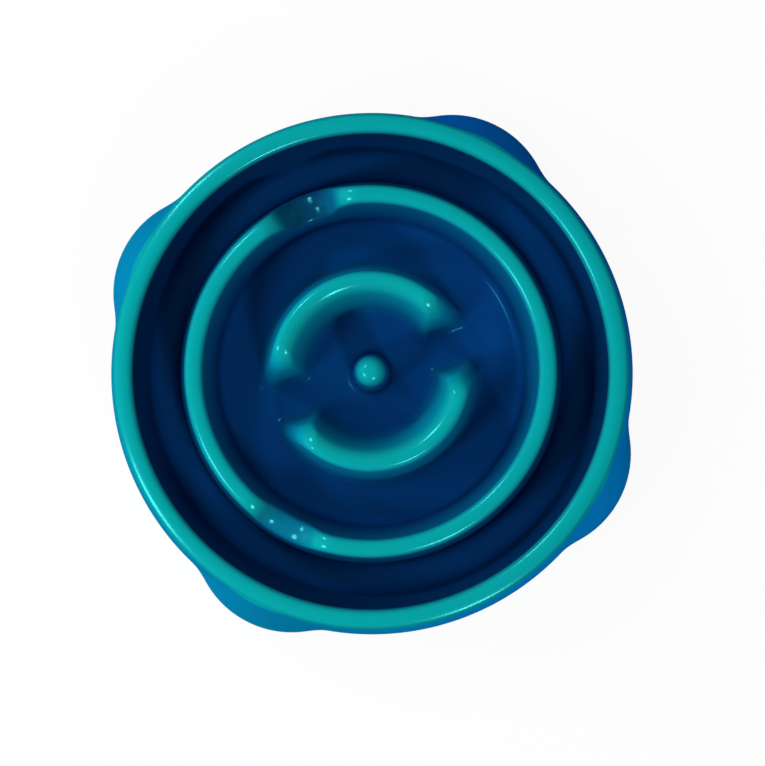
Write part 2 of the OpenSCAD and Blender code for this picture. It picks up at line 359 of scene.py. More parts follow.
def moulding_form(sizes):
    """Radii and heights of the moulding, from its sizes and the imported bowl's box."""
    low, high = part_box("bowl")
    form = SimpleNamespace(sizes=sizes, low=low.z, high=high.z, base_r=(high.x - low.x) / 2)
    form.rim_r = form.base_r - spread(form.high - form.low, sizes.skirt_draft)
    form.basin_r = form.rim_r - sizes.rim_w
    form.ring_out_r = form.basin_r - sizes.outer_channel_w
    form.ring_in_r = form.ring_out_r - sizes.ring_w
    form.crescent_out_r = form.ring_in_r - sizes.inner_channel_w
    form.crescent_in_r = form.crescent_out_r - sizes.crescent_w
    form.ring_r = (form.ring_out_r + form.ring_in_r) / 2
    form.outer_channel_r = (form.ring_out_r + form.basin_r) / 2
    form.inner_channel_r = (form.crescent_out_r + form.ring_in_r) / 2
    form.ring_z = form.high - sizes.ring_drop
    form.crescent_z = form.high - sizes.crescent_drop
    form.post_z = form.high - sizes.post_drop
    form.post_r = sizes.post_d / 2
    form.lobe_c = form.base_r + sizes.lobe_reach - sizes.lobe_r
    inward = sizes.lobe_r - form.rim_r + form.lobe_c
    form.lobe_lean = math.atan(inward / (form.high - form.low))
    # The floor between field_r and pool_r is filled in one flat piece, with the crescents in it
    ring_foot = form.ring_in_r - spread(form.ring_z - sizes.floor_h, sizes.ring_draft)
    crescent_foot = form.crescent_out_r + spread(
        form.crescent_z - sizes.floor_h, sizes.crescent_draft_out)
    form.field_r = ring_foot + (crescent_foot - ring_foot) / 3
    post_foot = form.post_r + spread(form.post_z - sizes.floor_h, sizes.post_draft)
    form.pool_r = post_foot + sizes.post_foot_r + sizes.wall
    form.saddles = [
        saddle_form(sizes.back_dip, sizes.back_dip_w, sizes.back_dip_depth,
                    sizes.back_dip_draft, sizes.dip_r),
        saddle_form(sizes.front_dip, sizes.front_dip_w, sizes.front_dip_depth,
                    sizes.front_dip_draft, sizes.dip_r)]
    return form


def fineness(inset):
    """Rows and steps are twice as fine on the outer face, whose inset is 0."""
    return 1 if inset else 2


def offset_round(radius, inset):
    """Radius of an outward corner on the face that lies further in."""
    return max(radius - inset, LEAST_R)


def crown_drop(sizes, width):
    """How far the edges of a crowned crest of this width lie below its middle."""
    return math.tan(sizes.crown) * width / 2


def turned_corners(form, inset, ring_top):
    """Corners of the half section from the skirt's bottom edge to the inner channel.

    inset is 0 for the outer face and the wall for the underside. ring_top is the ring's height."""
    sizes, fine = form.sizes, fineness(inset)

    def side(r_top, z_top, draft, z):
        """The point at height z of a drafted side, whose top is given on the outer face."""
        inside = inset / math.cos(draft)
        return Vector((r_top + spread(z_top - z, draft) - math.copysign(inside, draft), z))

    def crest(out_r, in_r, z_top, top, drafts, rounds, rows):
        """A crest's outer and inner corner. The outer face is crowned between them."""
        width = side(out_r, z_top, drafts[0], top).x - side(in_r, z_top, drafts[1], top).x
        drop = 0 if inset else crown_drop(sizes, width)
        corners = [
            (side(r, z_top, draft, top - drop), offset_round(rounding, inset), steps)
            for r, draft, rounding, steps in zip((out_r, in_r), drafts, rounds, (rows, fine))]
        middle = (Vector(((out_r + in_r) / 2, top)), sizes.crown_r, fine)
        return corners if inset else [corners[0], middle, corners[1]]

    floor = sizes.floor_h - inset
    ridge_foot_r = sizes.ridge_foot_r + inset
    rim = crest(form.rim_r, form.basin_r, form.high, form.high - inset,
                (sizes.skirt_draft, -sizes.basin_draft), (sizes.rim_out_r, sizes.rim_in_r),
                SKIRT_ROWS * fine)
    ring = crest(form.ring_out_r, form.ring_in_r, form.ring_z, ring_top,
                 (sizes.ring_draft, -sizes.ring_draft), (sizes.ring_crest_r, sizes.ring_crest_r),
                 SIDE_ROWS * fine)
    basin_foot = side(form.basin_r, form.high, -sizes.basin_draft, floor)
    ring_out_foot = side(form.ring_out_r, form.ring_z, sizes.ring_draft, floor)
    ring_in_foot = side(form.ring_in_r, form.ring_z, -sizes.ring_draft, floor)
    return [
        (side(form.rim_r, form.high, sizes.skirt_draft, form.low), 0, 0),
        *rim,
        (basin_foot, sizes.basin_foot_r + inset, SIDE_ROWS * fine),
        (ring_out_foot, ridge_foot_r, FLOOR_ROWS * fine),
        *ring,
        (ring_in_foot, ridge_foot_r, SIDE_ROWS * fine),
        (Vector((form.field_r, floor)), 0, fine)]


def saddle_height(form, dip, inset, along):
    """Height of the ring's crest at a distance along the ring from a saddle's middle."""
    bottom, top = form.ring_z - dip.depth, form.ring_z
    foot_r, crown_r = dip.foot_r + inset, dip.crown_r - inset
    across = abs(along)
    if across <= dip.bed_x:
        return bottom - inset
    if across < dip.bed_x + foot_r * math.cos(dip.draft):
        return bottom + dip.foot_r - math.sqrt(foot_r ** 2 - (across - dip.bed_x) ** 2)
    if across >= dip.crown_x:
        return top - inset
    if across > dip.crown_x - crown_r * math.cos(dip.draft):
        return top - dip.crown_r + math.sqrt(crown_r ** 2 - (dip.crown_x - across) ** 2)
    return bottom - inset + (across - dip.half_w - inset * dip.turn) / math.tan(dip.draft)


def ring_height(form, inset, direction):
    """Height of the ring's crest in a direction, with both saddles."""
    heights = []
    for dip in form.saddles:
        away = (direction - dip.direction + math.pi) % FULL_TURN - math.pi
        if abs(away) < QUARTER_TURN:
            heights.append(saddle_height(form, dip, inset, form.ring_r * math.sin(away)))
    return min(heights, default=form.ring_z - inset)


def soft_max(a, b, width):
    """The larger of two values, with a soft corner where they are closer than width."""
    return max(a, b) + max(0, 1 - abs(a - b) / width) ** 2 * width / 4


def lobe_bulge(form, inset, direction, z):
    """How far the lobes push the skirt's face outwards in a direction, at height z."""
    sizes = form.sizes
    away = (direction - sizes.lobe_angle + QUARTER_TURN / 2) % QUARTER_TURN - QUARTER_TURN / 2
    radius = sizes.lobe_r - spread(z - form.low, form.lobe_lean) - inset / math.cos(form.lobe_lean)
    room = radius ** 2 - (form.lobe_c * math.sin(away)) ** 2
    if room <= 0:
        return 0
    skirt_r = form.rim_r + spread(form.high - z, sizes.skirt_draft)
    skirt = skirt_r - inset / math.cos(sizes.skirt_draft)
    lobe = form.lobe_c * math.cos(away) + math.sqrt(room)
    # The bulge fades out towards the crest's edge, over the rim's rounding
    crest_edge = form.high - inset - crown_drop(sizes, sizes.rim_w)
    fade = min(1, max(0, crest_edge - z) / sizes.rim_out_r)
    return (soft_max(skirt, lobe, sizes.lobe_blend) - skirt) * fade


def turned_face(name, form, inset, detail):
    """Skirt, lobes, rim, basin wall, outer channel and ring, on one face of the moulding."""
    step = detail.under_step if inset else detail.arc_step
    run = rounded_run(turned_corners(form, inset, form.ring_z - inset), step)
    piece = turned(name, run, detail.columns)
    rim_middle = (form.rim_r + form.basin_r) / 2
    skirt_rows = next(k for k, point in enumerate(run) if point.x < rim_middle)
    # Each column gets its own section, with the ring's crest as low as the saddles make it there
    sections = {}
    rows = piece.data.attributes["row"].data
    for vertex, row in zip(piece.data.vertices, rows):
        direction = math.atan2(vertex.co.y, vertex.co.x)
        column = round(direction / FULL_TURN * detail.columns) % detail.columns
        if column not in sections:
            crest_z = ring_height(form, inset, direction)
            sections[column] = rounded_run(turned_corners(form, inset, crest_z), step)
        radius, z = sections[column][row.value]
        if row.value < skirt_rows:
            radius += lobe_bulge(form, inset, direction, z)
        vertex.co = (radius * math.cos(direction), radius * math.sin(direction), z)
    return piece


def side_reach(z, floor, top, draft, crest_r, foot_r):
    """How far a drafted side stands out past its crest's corner at height z."""
    turn = math.tan(math.pi / 4 - draft / 2)
    drop, rise = top - z, z - floor
    if drop < crest_r * (1 - math.sin(draft)):
        return math.sqrt(max(crest_r ** 2 - (crest_r - drop) ** 2, 0)) - crest_r * turn
    if rise < foot_r * (1 - math.sin(draft)):
        arc = math.sqrt(foot_r ** 2 - (foot_r - rise) ** 2)
        return spread(top - floor, draft) + foot_r * turn - arc
    return spread(drop, draft)


def arc_points(centre, start, turn, steps):
    """Points round centre from start, which isn't repeated, over a turn."""
    arm = start - centre
    return [centre + Matrix.Rotation(turn * k / steps, 2) @ arm for k in range(1, steps + 1)]


def crescent_outline(form, inset, z):
    """Closed plan outline of the back crescent at height z."""
    sizes, fine = form.sizes, fineness(inset)
    floor, top = sizes.floor_h - inset, form.crescent_z - inset

    def reach(draft, crest_r):
        inside = inset * (math.tan(draft) - 1 / math.cos(draft))
        rounds = offset_round(crest_r, inset), sizes.ridge_foot_r + inset
        return side_reach(z, floor, top, draft, *rounds) + inside

    outer = form.crescent_out_r + reach(sizes.crescent_draft_out, sizes.crescent_crest_r)
    inner = form.crescent_in_r - reach(sizes.crescent_draft_in, sizes.crescent_inner_r)
    end_top = sizes.gap_w / 2 + spread(form.crescent_z - sizes.floor_h, sizes.gap_draft)
    end = end_top - reach(sizes.gap_draft, sizes.end_r)
    out_r = min(sizes.end_out_r, (outer - inner) * OUT_CORNER_SHARE)
    in_r = min(sizes.end_in_r, (outer - inner) * IN_CORNER_SHARE)
    out_c = Vector((math.sqrt((outer - out_r) ** 2 - (end + out_r) ** 2), end + out_r))
    in_c = Vector((math.sqrt((inner + in_r) ** 2 - (end + in_r) ** 2), end + in_r))
    out_start = out_c.normalized() * outer
    in_start = Vector((in_c.x, end))
    out_turn = -math.atan2(out_c.y, out_c.x) - QUARTER_TURN
    in_turn = -math.atan2(in_c.x, in_c.y)
    middle = Vector((0, 0))
    half = [Vector((0, outer))]
    turn = math.atan2(out_start.y, out_start.x) - QUARTER_TURN
    half += arc_points(middle, half[-1], turn, ALONG_STEPS * fine)
    half += arc_points(out_c, half[-1], out_turn, OUT_CORNER_STEPS * fine)
    half += [half[-1].lerp(in_start, part) for part in spaced(0, 1, fine)[1:]]
    half += arc_points(in_c, half[-1], in_turn, IN_CORNER_STEPS * fine)
    turn = QUARTER_TURN - math.atan2(half[-1].y, half[-1].x)
    half += arc_points(middle, half[-1], turn, ALONG_STEPS * fine)
    mirrored = [Vector((-point.x, point.y)) for point in reversed(half[1:-1])]
    return [(point.x, point.y, z) for point in half + mirrored]


def crescent_levels(form, inset):
    """Heights of a crescent's outlines, closest together where its foot and crest are rounded."""
    sizes, fine = form.sizes, fineness(inset)
    floor, top = sizes.floor_h - inset, form.crescent_z - inset
    foot_r = sizes.ridge_foot_r + inset
    crest_r = offset_round(sizes.crescent_crest_r, inset)
    end_r = sizes.end_r - inset
    lean = QUARTER_TURN - sizes.gap_draft
    crest_h = crest_r * (1 - math.cos(lean))
    end_turn = math.acos(1 - crest_h / end_r)
    foot = [floor + foot_r * (1 - math.cos(a)) for a in spaced(0, lean, FILLET_ROWS * fine)]
    end = [top - end_r * (1 - math.cos(a)) for a in spaced(lean, end_turn, END_ROWS * fine)]
    crest = [top - crest_r * (1 - math.cos(a)) for a in spaced(lean, 0, CREST_ROWS * fine)]
    flank = spaced(foot[-1], end[0], FLANK_ROWS * fine)
    return foot + flank[1:-1] + end + crest[1:]


def crescent_face(name, form, inset):
    """One face of the back crescent, closed at the crest and open at the floor."""
    outlines = [crescent_outline(form, inset, z) for z in crescent_levels(form, inset)]
    piece = lofted(name, outlines)
    fill_open_loops(piece, form.sizes.floor_h + form.sizes.ridge_foot_r)
    return piece


def post_face(name, form, inset, detail):
    """One face of the centre post, with a ring of the floor round it."""
    sizes = form.sizes
    floor, top = sizes.floor_h - inset, form.post_z - inset
    inside = inset / math.cos(sizes.post_draft)
    foot_x = form.post_r + spread(form.post_z - floor, sizes.post_draft) - inside
    top_x = form.post_r + spread(inset, sizes.post_draft) - inside
    dome_r = min(offset_round(sizes.post_dome_r, inset), top_x * DOME_SHARE)
    step = detail.under_step if inset else detail.arc_step / 2
    run = rounded_run([
        (Vector((form.pool_r, floor)), 0, 0),
        (Vector((foot_x, floor)), sizes.post_foot_r + inset / 2, 1),
        (Vector((top_x, top)), dome_r, SIDE_ROWS),
        (Vector((0, top)), 0, 1)], step)
    return turned(name, run, detail.post_columns)


def moulding_face(name, form, inset, detail):
    """The whole outer face of the moulding, or its underside, open along the skirt's bottom."""
    crescent = crescent_face(name + "_crescent", form, inset)
    twin = copied(crescent, name + "_twin", Matrix.Rotation(math.pi, 4, "Z"))
    post = post_face(name + "_post", form, inset, detail)
    face = join([turned_face(name, form, inset, detail), crescent, twin, post])
    fill_open_loops(face, (form.low + form.sizes.floor_h - form.sizes.wall) / 2)
    return face


def join_edges(piece, columns):
    """Closes the skirt's bottom edge, between the outer face and the underside."""
    mesh = bmesh.new()
    mesh.from_mesh(piece.data)
    pairs = [[] for _ in range(columns)]
    for vertex in mesh.verts:
        if vertex.is_boundary:
            direction = math.atan2(vertex.co.y, vertex.co.x)
            pairs[round(direction / FULL_TURN * columns) % columns].append(vertex)
    for pair in pairs:
        pair.sort(key=lambda vertex: vertex.co.xy.length)
    for (inner, outer), (next_inner, next_outer) in zip(pairs, pairs[1:] + pairs[:1]):
        mesh.faces.new((inner, outer, next_outer, next_inner))
    mesh.to_mesh(piece.data)
    mesh.free()
    return piece


class FEEDER_OT_moulding(Operator):
    """Model the bowl's one-piece moulding, with its hollow underside"""

    bl_idname = "feeder.moulding"
    bl_label = "Moulding"

    def execute(self, context):
        scene = context.scene
        form = moulding_form(scene.feeder_moulding)
        outer = moulding_face("bowl_moulding", form, 0, scene.feeder_detail)
        under = moulding_face("bowl_underside", form, form.sizes.wall, scene.feeder_detail)
        bowl = close_up(join_edges(join([outer, under]), scene.feeder_detail.columns))
        bowl.data.materials.append(moulded_plastic_with_painted_shade(scene.feeder_look, form))
        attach(bowl, "root")
        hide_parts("bowl")
        return {"FINISHED"}


def landing_mesh(name, form, feet, detail):
    """Boss and two crossing ribs that carry one foot, for a lobe that points along X."""
    sizes, wall = form.sizes, form.sizes.wall
    foot_low, foot_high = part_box("foot_back_right")
    foot_c = math.hypot((foot_low.x + foot_high.x) / 2, (foot_low.y + foot_high.y) / 2)
    hole_r = (feet.stem_d + feet.stem_fit) / 2
    boss_r = hole_r + feet.boss_wall
    hole_top = foot_high.z + feet.hole_spare
    top = form.high - wall / 2
    boss = turned(name, rounded_run([
        (Vector((0, hole_top)), 0, 0),
        (Vector((hole_r, hole_top)), LEAST_R, 1),
        (Vector((hole_r, feet.pad_t)), LEAST_R, 1),
        (Vector((boss_r, feet.pad_t)), FOOT_CORNER_R, 1),
        (Vector((boss_r, top)), LEAST_R, BOSS_ROWS),
        (Vector((0, top)), 0, 1)], detail.under_step), detail.post_columns // 2)
    boss.data.transform(Matrix.Translation((foot_c, 0, 0)))

    def lobe_r(z):
        """Radius of the middle of the lobe's wall at height z."""
        return sizes.lobe_r - spread(z - form.low, form.lobe_lean) - wall / 2

    def basin(z):
        """Radius of the middle of the basin wall at height z."""
        return form.basin_r - spread(form.high - z, sizes.basin_draft) + wall / 2

    def half_lobe(z):
        """From the foot's middle sideways to the lobe's wall at height z."""
        return math.sqrt(lobe_r(z) ** 2 - (foot_c - form.lobe_c) ** 2)

    for vertex in boss.data.vertices:
        from_lobe = vertex.co.xy - Vector((form.lobe_c, 0))
        if from_lobe.length > lobe_r(vertex.co.z):
            reach = from_lobe.normalized() * lobe_r(vertex.co.z)
            vertex.co.xy = Vector((form.lobe_c, 0)) + reach
    heights = spaced(feet.pad_t, top, BOSS_ROWS)
    ribs = []
    for ends in (
            [((basin(z), 0), (form.lobe_c + lobe_r(z), 0)) for z in heights],
            [((foot_c, -half_lobe(z)), (foot_c, half_lobe(z))) for z in heights]):
        points = [(x, y, z) for pair, z in zip(ends, heights) for x, y in pair]
        faces = [(k, k + 1, k + 3, k + 2) for k in range(0, len(points) - 2, 2)]
        rib = add_mesh(name + "_rib", points, (), faces)
        active(rib)
        bpy.ops.object.modifier_add(type="SOLIDIFY")
        rib.modifiers[-1].thickness = feet.rib_t
        rib.modifiers[-1].offset = 0
        bpy.ops.object.modifier_apply(modifier=rib.modifiers[-1].name)
        ribs.append(rib)
    return join([boss] + ribs)


class FEEDER_OT_landings(Operator):
    """Model the bosses and ribs under the lobes, which carry the feet"""

    bl_idname = "feeder.landings"
    bl_label = "Foot landings"

    def execute(self, context):
        scene = context.scene
        form = moulding_form(scene.feeder_moulding)
        first = close_up(landing_mesh("landing", form, scene.feeder_feet, scene.feeder_detail))
        landings = []
        for quarter in range(4):
            turn = form.sizes.lobe_angle + quarter * QUARTER_TURN
            landings.append(copied(first, f"landing_{quarter}", Matrix.Rotation(turn, 4, "Z")))
        bpy.data.objects.remove(first)
        landing = join(landings)
        landing.name = "foot_landings"
        landing.data.materials.append(bpy.data.objects["bowl_moulding"].data.materials[0])
        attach(landing, "root")
        return {"FINISHED"}


class FEEDER_OT_feet(Operator):
    """Model the four soft feet, one in each lobe"""

    bl_idname = "feeder.feet"
    bl_label = "Feet"

    def execute(self, context):
        scene = context.scene
        feet, detail = scene.feeder_feet, scene.feeder_detail
        low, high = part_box("foot_back_right")
        pad_r, stem_r = (high.x - low.x) / 2, feet.stem_d / 2
        tip = high.z - low.z
        foot = turned("foot", rounded_run([
            (Vector((0, feet.dimple_h)), 0, 0),
            (Vector((feet.dimple_r, feet.dimple_h)), feet.dimple_h, 2),
            (Vector((feet.dimple_r + 2 * feet.dimple_h, 0)), feet.dimple_h, 1),
            (Vector((pad_r, 0)), feet.pad_edge_r, 2),
            (Vector((pad_r, feet.pad_t - feet.pad_top_in)), feet.pad_top_in / 2, 1),
            (Vector((pad_r - feet.pad_top_in, feet.pad_t)), feet.pad_top_in / 2, 1),
            (Vector((stem_r, feet.pad_t)), FOOT_CORNER_R, 2),
            (Vector((stem_r, tip - feet.tip_l)), FOOT_CORNER_R, 2),
            (Vector((stem_r - feet.tip_in, tip)), FOOT_CORNER_R, 1),
            (Vector((0, tip)), 0, 2)], detail.arc_step), detail.post_columns)
        close_up(foot)
        foot.data.materials.append(soft_rubber(scene.feeder_look))
        for node in sorted(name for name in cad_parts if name.startswith("foot_")):
            low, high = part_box(node)
            place = Vector(((low.x + high.x) / 2, (low.y + high.y) / 2, low.z))
            piece = copied(foot, "soft_" + node, Matrix.Translation(place))
            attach(piece, "root")
            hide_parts(node)
        bpy.data.objects.remove(foot)
        return {"FINISHED"}


class Wire:
    """An output socket of a material's nodes. Arithmetic on wires adds their Math nodes."""

    def __init__(self, tree, socket=None):
        self.tree, self.socket = tree, socket

    def node(self, kind, settings=None, sockets=None):
        """A new node of the tree, as the wire of its first output."""
        made = self.tree.nodes.new(kind)
        for name, value in (settings or {}).items():
            if name == "stops":
                self.set_stops(made.color_ramp, value)
            else:
                setattr(made, name, value)
        for key, value in (sockets or {}).items():
            if isinstance(value, Wire):
                self.tree.links.new(value.socket, made.inputs[key])
            else:
                made.inputs[key].default_value = value
        return Wire(self.tree, next(iter(made.outputs), None))

    @staticmethod
    def set_stops(ramp, stops):
        """Gives a ramp its stops, each a place and a colour."""
        while len(ramp.elements) < len(stops):
            ramp.elements.new(1)
        for element, (place, rgb) in zip(ramp.elements, stops):
            element.position = place
            element.color = (*rgb, 1)

    def __getitem__(self, name):
        return Wire(self.tree, self.socket.node.outputs[name])

    def maths(self, operation, *values, clamp=False):
        """A Math node on numbers or wires."""
        settings = {"operation": operation, "use_clamp": clamp}
        return self.node("ShaderNodeMath", settings, dict(enumerate(values)))

    def vector_maths(self, operation, *values):
        """A Vector Math node on vectors or wires."""
        return self.node("ShaderNodeVectorMath", {"operation": operation}, dict(enumerate(values)))

    def __add__(self, other):
        return self.maths("ADD", self, other)

    __radd__ = __add__

    def __mul__(self, other):
        return self.maths("MULTIPLY", self, other)

    __rmul__ = __mul__

    def __sub__(self, other):
        return self.maths("SUBTRACT", self, other)

    def __rsub__(self, other):
        return self.maths("SUBTRACT", other, self)

    def __truediv__(self, other):
        return self.maths("DIVIDE", self, other)

    def clamped(self):
        """The same value, kept between 0 and 1."""
        return self.maths("ADD", self, 0, clamp=True)

    def rising(self, start, full):
        """0 at start and 1 at full, with an even rise between them."""
        return ((self - start) / (full - start)).clamped()

    def past(self, place, width=MM, lead=0.5):
        """A rise from 0 to 1 over a width, which starts lead widths before the place."""
        return ((self - place) / width + lead).clamped()

    def sway(self, amount):
        """Noise as a sway round 0, by half the amount either way."""
        return (self - 0.5) * amount


def blended(amount, first, second):
    """Colour between first and second."""
    rgba = [c if isinstance(c, Wire) else (*c, 1) for c in (first, second)]
    return amount.node("ShaderNodeMix", {"data_type": "RGBA", "clamp_factor": True},
                       {"Factor": amount, "A": rgba[0], "B": rgba[1]})["Result"]


def noise(place, scale, detail):
    """Noise over a place, with scale patches to the metre."""
    return place.node("ShaderNodeTexNoise", {}, {"Vector": place, "Scale": scale, "Detail": detail})


def new_material(name):
    """An empty material and the wire that adds its nodes."""
    material = bpy.data.materials.new(name)
    material.use_nodes = True
    material.node_tree.nodes.clear()
    return material, Wire(material.node_tree)


# Depths below the nearest crest, as shares of the rim's height over the floor, where the painted
# shade
# changes: of the colours on lying faces, on the crescents' inner sides and on the other sides
LYING_DEPTHS = (0.08, 0.23, 0.42, 0.92)
INNER_DEPTHS = (0.02, 0.14, 0.8)
SIDE_DEPTHS = (0.02, 0.8)
# Each pair says where a share starts and where it is full. Sides' colours, with their painted
# shade, by how level a face is
STEEP = (0.97, 0.27)
# The skirt's lower painted-shade colours by depth, and the painted light and shade of its right
# side by place, in radii
OVER_RIM, TO_RIGHT = (0.03, 0.12), (0.25, 0.85)
# Satin by the view's slant on the skirt, and by depth in the channels
SLANTING, SETTLING = (0.12, 0.32), (0.1, 0.8)
# The skirt's satin starts this many mm inside the rim's edge
SATIN_LEAD = 3
# How fast the underside's darker painted-shade colour takes over as a face turns down
TURNED_DOWN = 5
# Sway of the depths and of the plastic's and the rubber's roughness, and the grain's height
CLOUD_SWAY, HAZE_SWAY, GRAIN_SWAY, GRAIN_H = 0.04, 0.08, 0.12, 0.1 * MM
# How much paler the rubber is in patches
RUBBER_PALER = 1.6


def crest_drop(radius, form):
    """How far the nearest crest lies below the rim, as steps along the radius."""
    sizes = form.sizes
    steps = (
        (form.outer_channel_r, sizes.ring_drop),
        (form.inner_channel_r, sizes.crescent_drop - sizes.ring_drop),
        ((form.crescent_in_r + form.post_r) / 2, sizes.post_drop - sizes.crescent_drop))
    return sum(radius.maths("LESS_THAN", radius, limit) * drop for limit, drop in steps)


def lie_of(sheet, look, form):
    """Where a point of the moulding lies, and how its face is turned."""
    coordinates = sheet.node("ShaderNodeTexCoord")
    place, facing = coordinates["Object"], coordinates["Normal"]
    axes = place.node("ShaderNodeSeparateXYZ", {}, {"Vector": place})
    up = place.node("ShaderNodeSeparateXYZ", {}, {"Vector": facing})["Z"]
    flat = place.vector_maths("MULTIPLY", place, (1, 1, 0))
    radius = flat.vector_maths("LENGTH", flat)["Value"]
    around = flat.vector_maths("NORMALIZE", flat.vector_maths("CROSS_PRODUCT", (0, 0, 1), flat))
    along = flat.vector_maths("DOT_PRODUCT", facing, around)["Value"]
    # Faces that lean one way round the ring, past the crescents, count as more level, so the
    # saddles' left slopes take the painted shade of flat faces instead of that of steep ones
    past_crescents = radius.maths("GREATER_THAN", radius, form.inner_channel_r)
    eased = along.maths("MINIMUM", along, 0) * past_crescents
    level = along.maths("SQRT", up * up + eased * eased * look.eased)
    # Depth below the nearest crest, which sets how much painted shade a point gets
    sunk = (form.high - axes["Z"] - crest_drop(radius, form)) / (form.high - form.sizes.floor_h)
    depth = sunk + noise(place, scale=60, detail=3).sway(CLOUD_SWAY)
    return SimpleNamespace(place=place, axes=axes, up=up, radius=radius, level=level, depth=depth)


def inside_colour_with_painted_shade(lie, look, form):
    """Colour inside the rim, with painted shade by depth and by how steep the face is, and painted
    shade under the bowl.
    """

    def by_depth(depths, *colours):
        stops = list(zip(depths, colours))
        return lie.depth.node("ShaderNodeValToRGB", {"stops": stops}, {"Fac": lie.depth})

    crescent_r = (form.crescent_in_r + form.crescent_out_r) / 2
    # Painted shade: each colour darkens and turns bluer with depth below the nearest crest
    lying = by_depth(LYING_DEPTHS, look.crest, look.shallow, look.saddle, look.deep)
    inner = by_depth(INNER_DEPTHS, look.shoulder, look.inner, look.inner_deep)
    flank = by_depth(SIDE_DEPTHS, look.flank, look.flank_deep)
    wall = by_depth(SIDE_DEPTHS, look.wall, look.wall_deep)
    basin = by_depth(SIDE_DEPTHS, look.basin, look.wall_deep)
    # Painted light and shade on steep faces: lighter on the crescents' inner sides and flanks,
    # darker on the ring, darkest on the basin wall
    side = blended(lie.radius.past(crescent_r, form.sizes.crescent_w / 2), inner, flank)
    side = blended(lie.radius.past(form.inner_channel_r), side, wall)
    side = blended(lie.radius.past(form.outer_channel_r), side, basin)
    side = blended(lie.radius.maths("LESS_THAN", lie.radius, form.pool_r), side, wall)
    inside = blended(lie.level.rising(*STEEP), lying, side)
    # Painted shade: faces turned down get the darker underside colour
    return blended((lie.up * -TURNED_DOWN).clamped(), inside, look.under)


def skirt_colour_with_painted_light_and_shade(lie, look, form):
    """Colour outside the rim: the crest's at the edge, then a bluer painted shade below it, darker
    at the back right and bluer at the front right.
    """
    x, y = lie.axes["X"], lie.axes["Y"]
    diagonal = form.base_r * math.sqrt(2)
    # Painted light and shade round the skirt, by place: bluer at the front right, darker at the
    # back right
    lower = blended(((x - y) / diagonal).rising(*TO_RIGHT), look.outside, look.front)
    lower = blended(((x + y) / diagonal).rising(*TO_RIGHT), lower, look.painted_shade_back_right)
    return blended(lie.depth.rising(*OVER_RIM), look.crest, lower)


def moulded_plastic_with_painted_shade(look, form):
    """Gloss plastic, teal at the crests, with painted light and shade that turn it blue on steep
    faces and where it lies deep.
    """
    material, sheet = new_material("moulded_plastic_with_painted_shade")
    lie = lie_of(sheet, look, form)
    past_rim = lie.radius.past(form.rim_r)
    base = blended(past_rim, inside_colour_with_painted_shade(lie, look, form), skirt_colour_with_painted_light_and_shade(lie, look, form))
    haze = noise(lie.place, scale=420, detail=2)
    peel = noise(lie.place, scale=900, detail=1)
    bump = peel.node("ShaderNodeBump", {}, {
        "Strength": 0.05, "Distance": GRAIN_H, "Height": peel + haze})
    gloss = base.node("ShaderNodeBsdfPrincipled", {}, {
        "Base Color": base, "Roughness": look.gloss + haze.sway(HAZE_SWAY),
        "Specular Tint": (*look.mirror, 1), "Normal": bump})
    satin = base.node("ShaderNodeBsdfPrincipled", {}, {
        "Base Color": base, "Roughness": look.satin, "Specular IOR Level": 0.0})
    slant = sheet.node("ShaderNodeLayerWeight", {}, {"Blend": 0.5})["Facing"]
    dull = slant.rising(*SLANTING) * lie.radius.past(form.rim_r, lead=SATIN_LEAD)
    settled = lie.depth.rising(*SETTLING) * look.settled * (1 - past_rim)
    dull = dull.maths("MAXIMUM", dull * look.dulled, settled)
    shader = base.node("ShaderNodeMixShader", {}, {0: dull, 1: gloss, 2: satin})
    sheet.node("ShaderNodeOutputMaterial", {}, {"Surface": shader})
    return material


def soft_rubber(look):
    """Matte moulded rubber with a fine grain."""
    material, sheet = new_material("soft_rubber")
    place = sheet.node("ShaderNodeTexCoord")["Object"]
    grain = noise(place, scale=1400, detail=3)
    pale = [min(1, c * RUBBER_PALER) for c in look.rubber]
    base = blended(noise(place, scale=160, detail=2), look.rubber, pale)
    bump = grain.node("ShaderNodeBump", {}, {
        "Strength": 0.3, "Distance": GRAIN_H, "Height": grain})
    shader = base.node("ShaderNodeBsdfPrincipled", {}, {
        "Base Color": base, "Roughness": look.grip + grain.sway(GRAIN_SWAY), "Normal": bump})
    sheet.node("ShaderNodeOutputMaterial", {}, {"Surface": shader})
    return material


class StudioSetup(PropertyGroup):
    """Camera, lamps and table."""

    turn: angle("Turn", "How far the bowl is turned against the picture", 18.5)
    camera_x: length("Camera right", "Camera's place to the right of the bowl's middle", 12.5)
    camera_y: length("Camera up", "Camera's place towards the picture's top", -19.2)
    camera_z: length("Camera height", "Camera's height above the table", 991)
    aim_x: length("Aim right", "Point in the picture's middle, to the right of the bowl's", 4.43)
    aim_y: length("Aim up", "Point in the picture's middle, towards its top", -4.03)
    lens: FloatProperty(
        name="Lens", description="Focal length in millimetres", default=112.4, unit="CAMERA")
    lamp_distance: length("Lamp distance", "From each lamp to the bowl", 1500)
    ambient: share("Ambient", "Strength of the even light from all sides", 0.25)
    table_w: length("Table width", "Width of the table, which the camera sees as white", 6000)
    table: colour("Table", "Colour of the table in the bowl's light", (0.9, 0.9, 0.9))
    glow: share("Table glow", "How much of the table's look is its own white", 0.93)


# Name, direction and height in degrees, width in mm, power in watts and whether the gloss shows it
LAMPS = (
    ("lamp_back_left", 135, 46, 270, 4.1, True),
    ("lamp_left", 209, 49, 360, 6.0, True),
    ("lamp_front_right", 294, 46, 310, 5.8, True),
    ("lamp_key", 170, 27, 1000, 11.5, False))


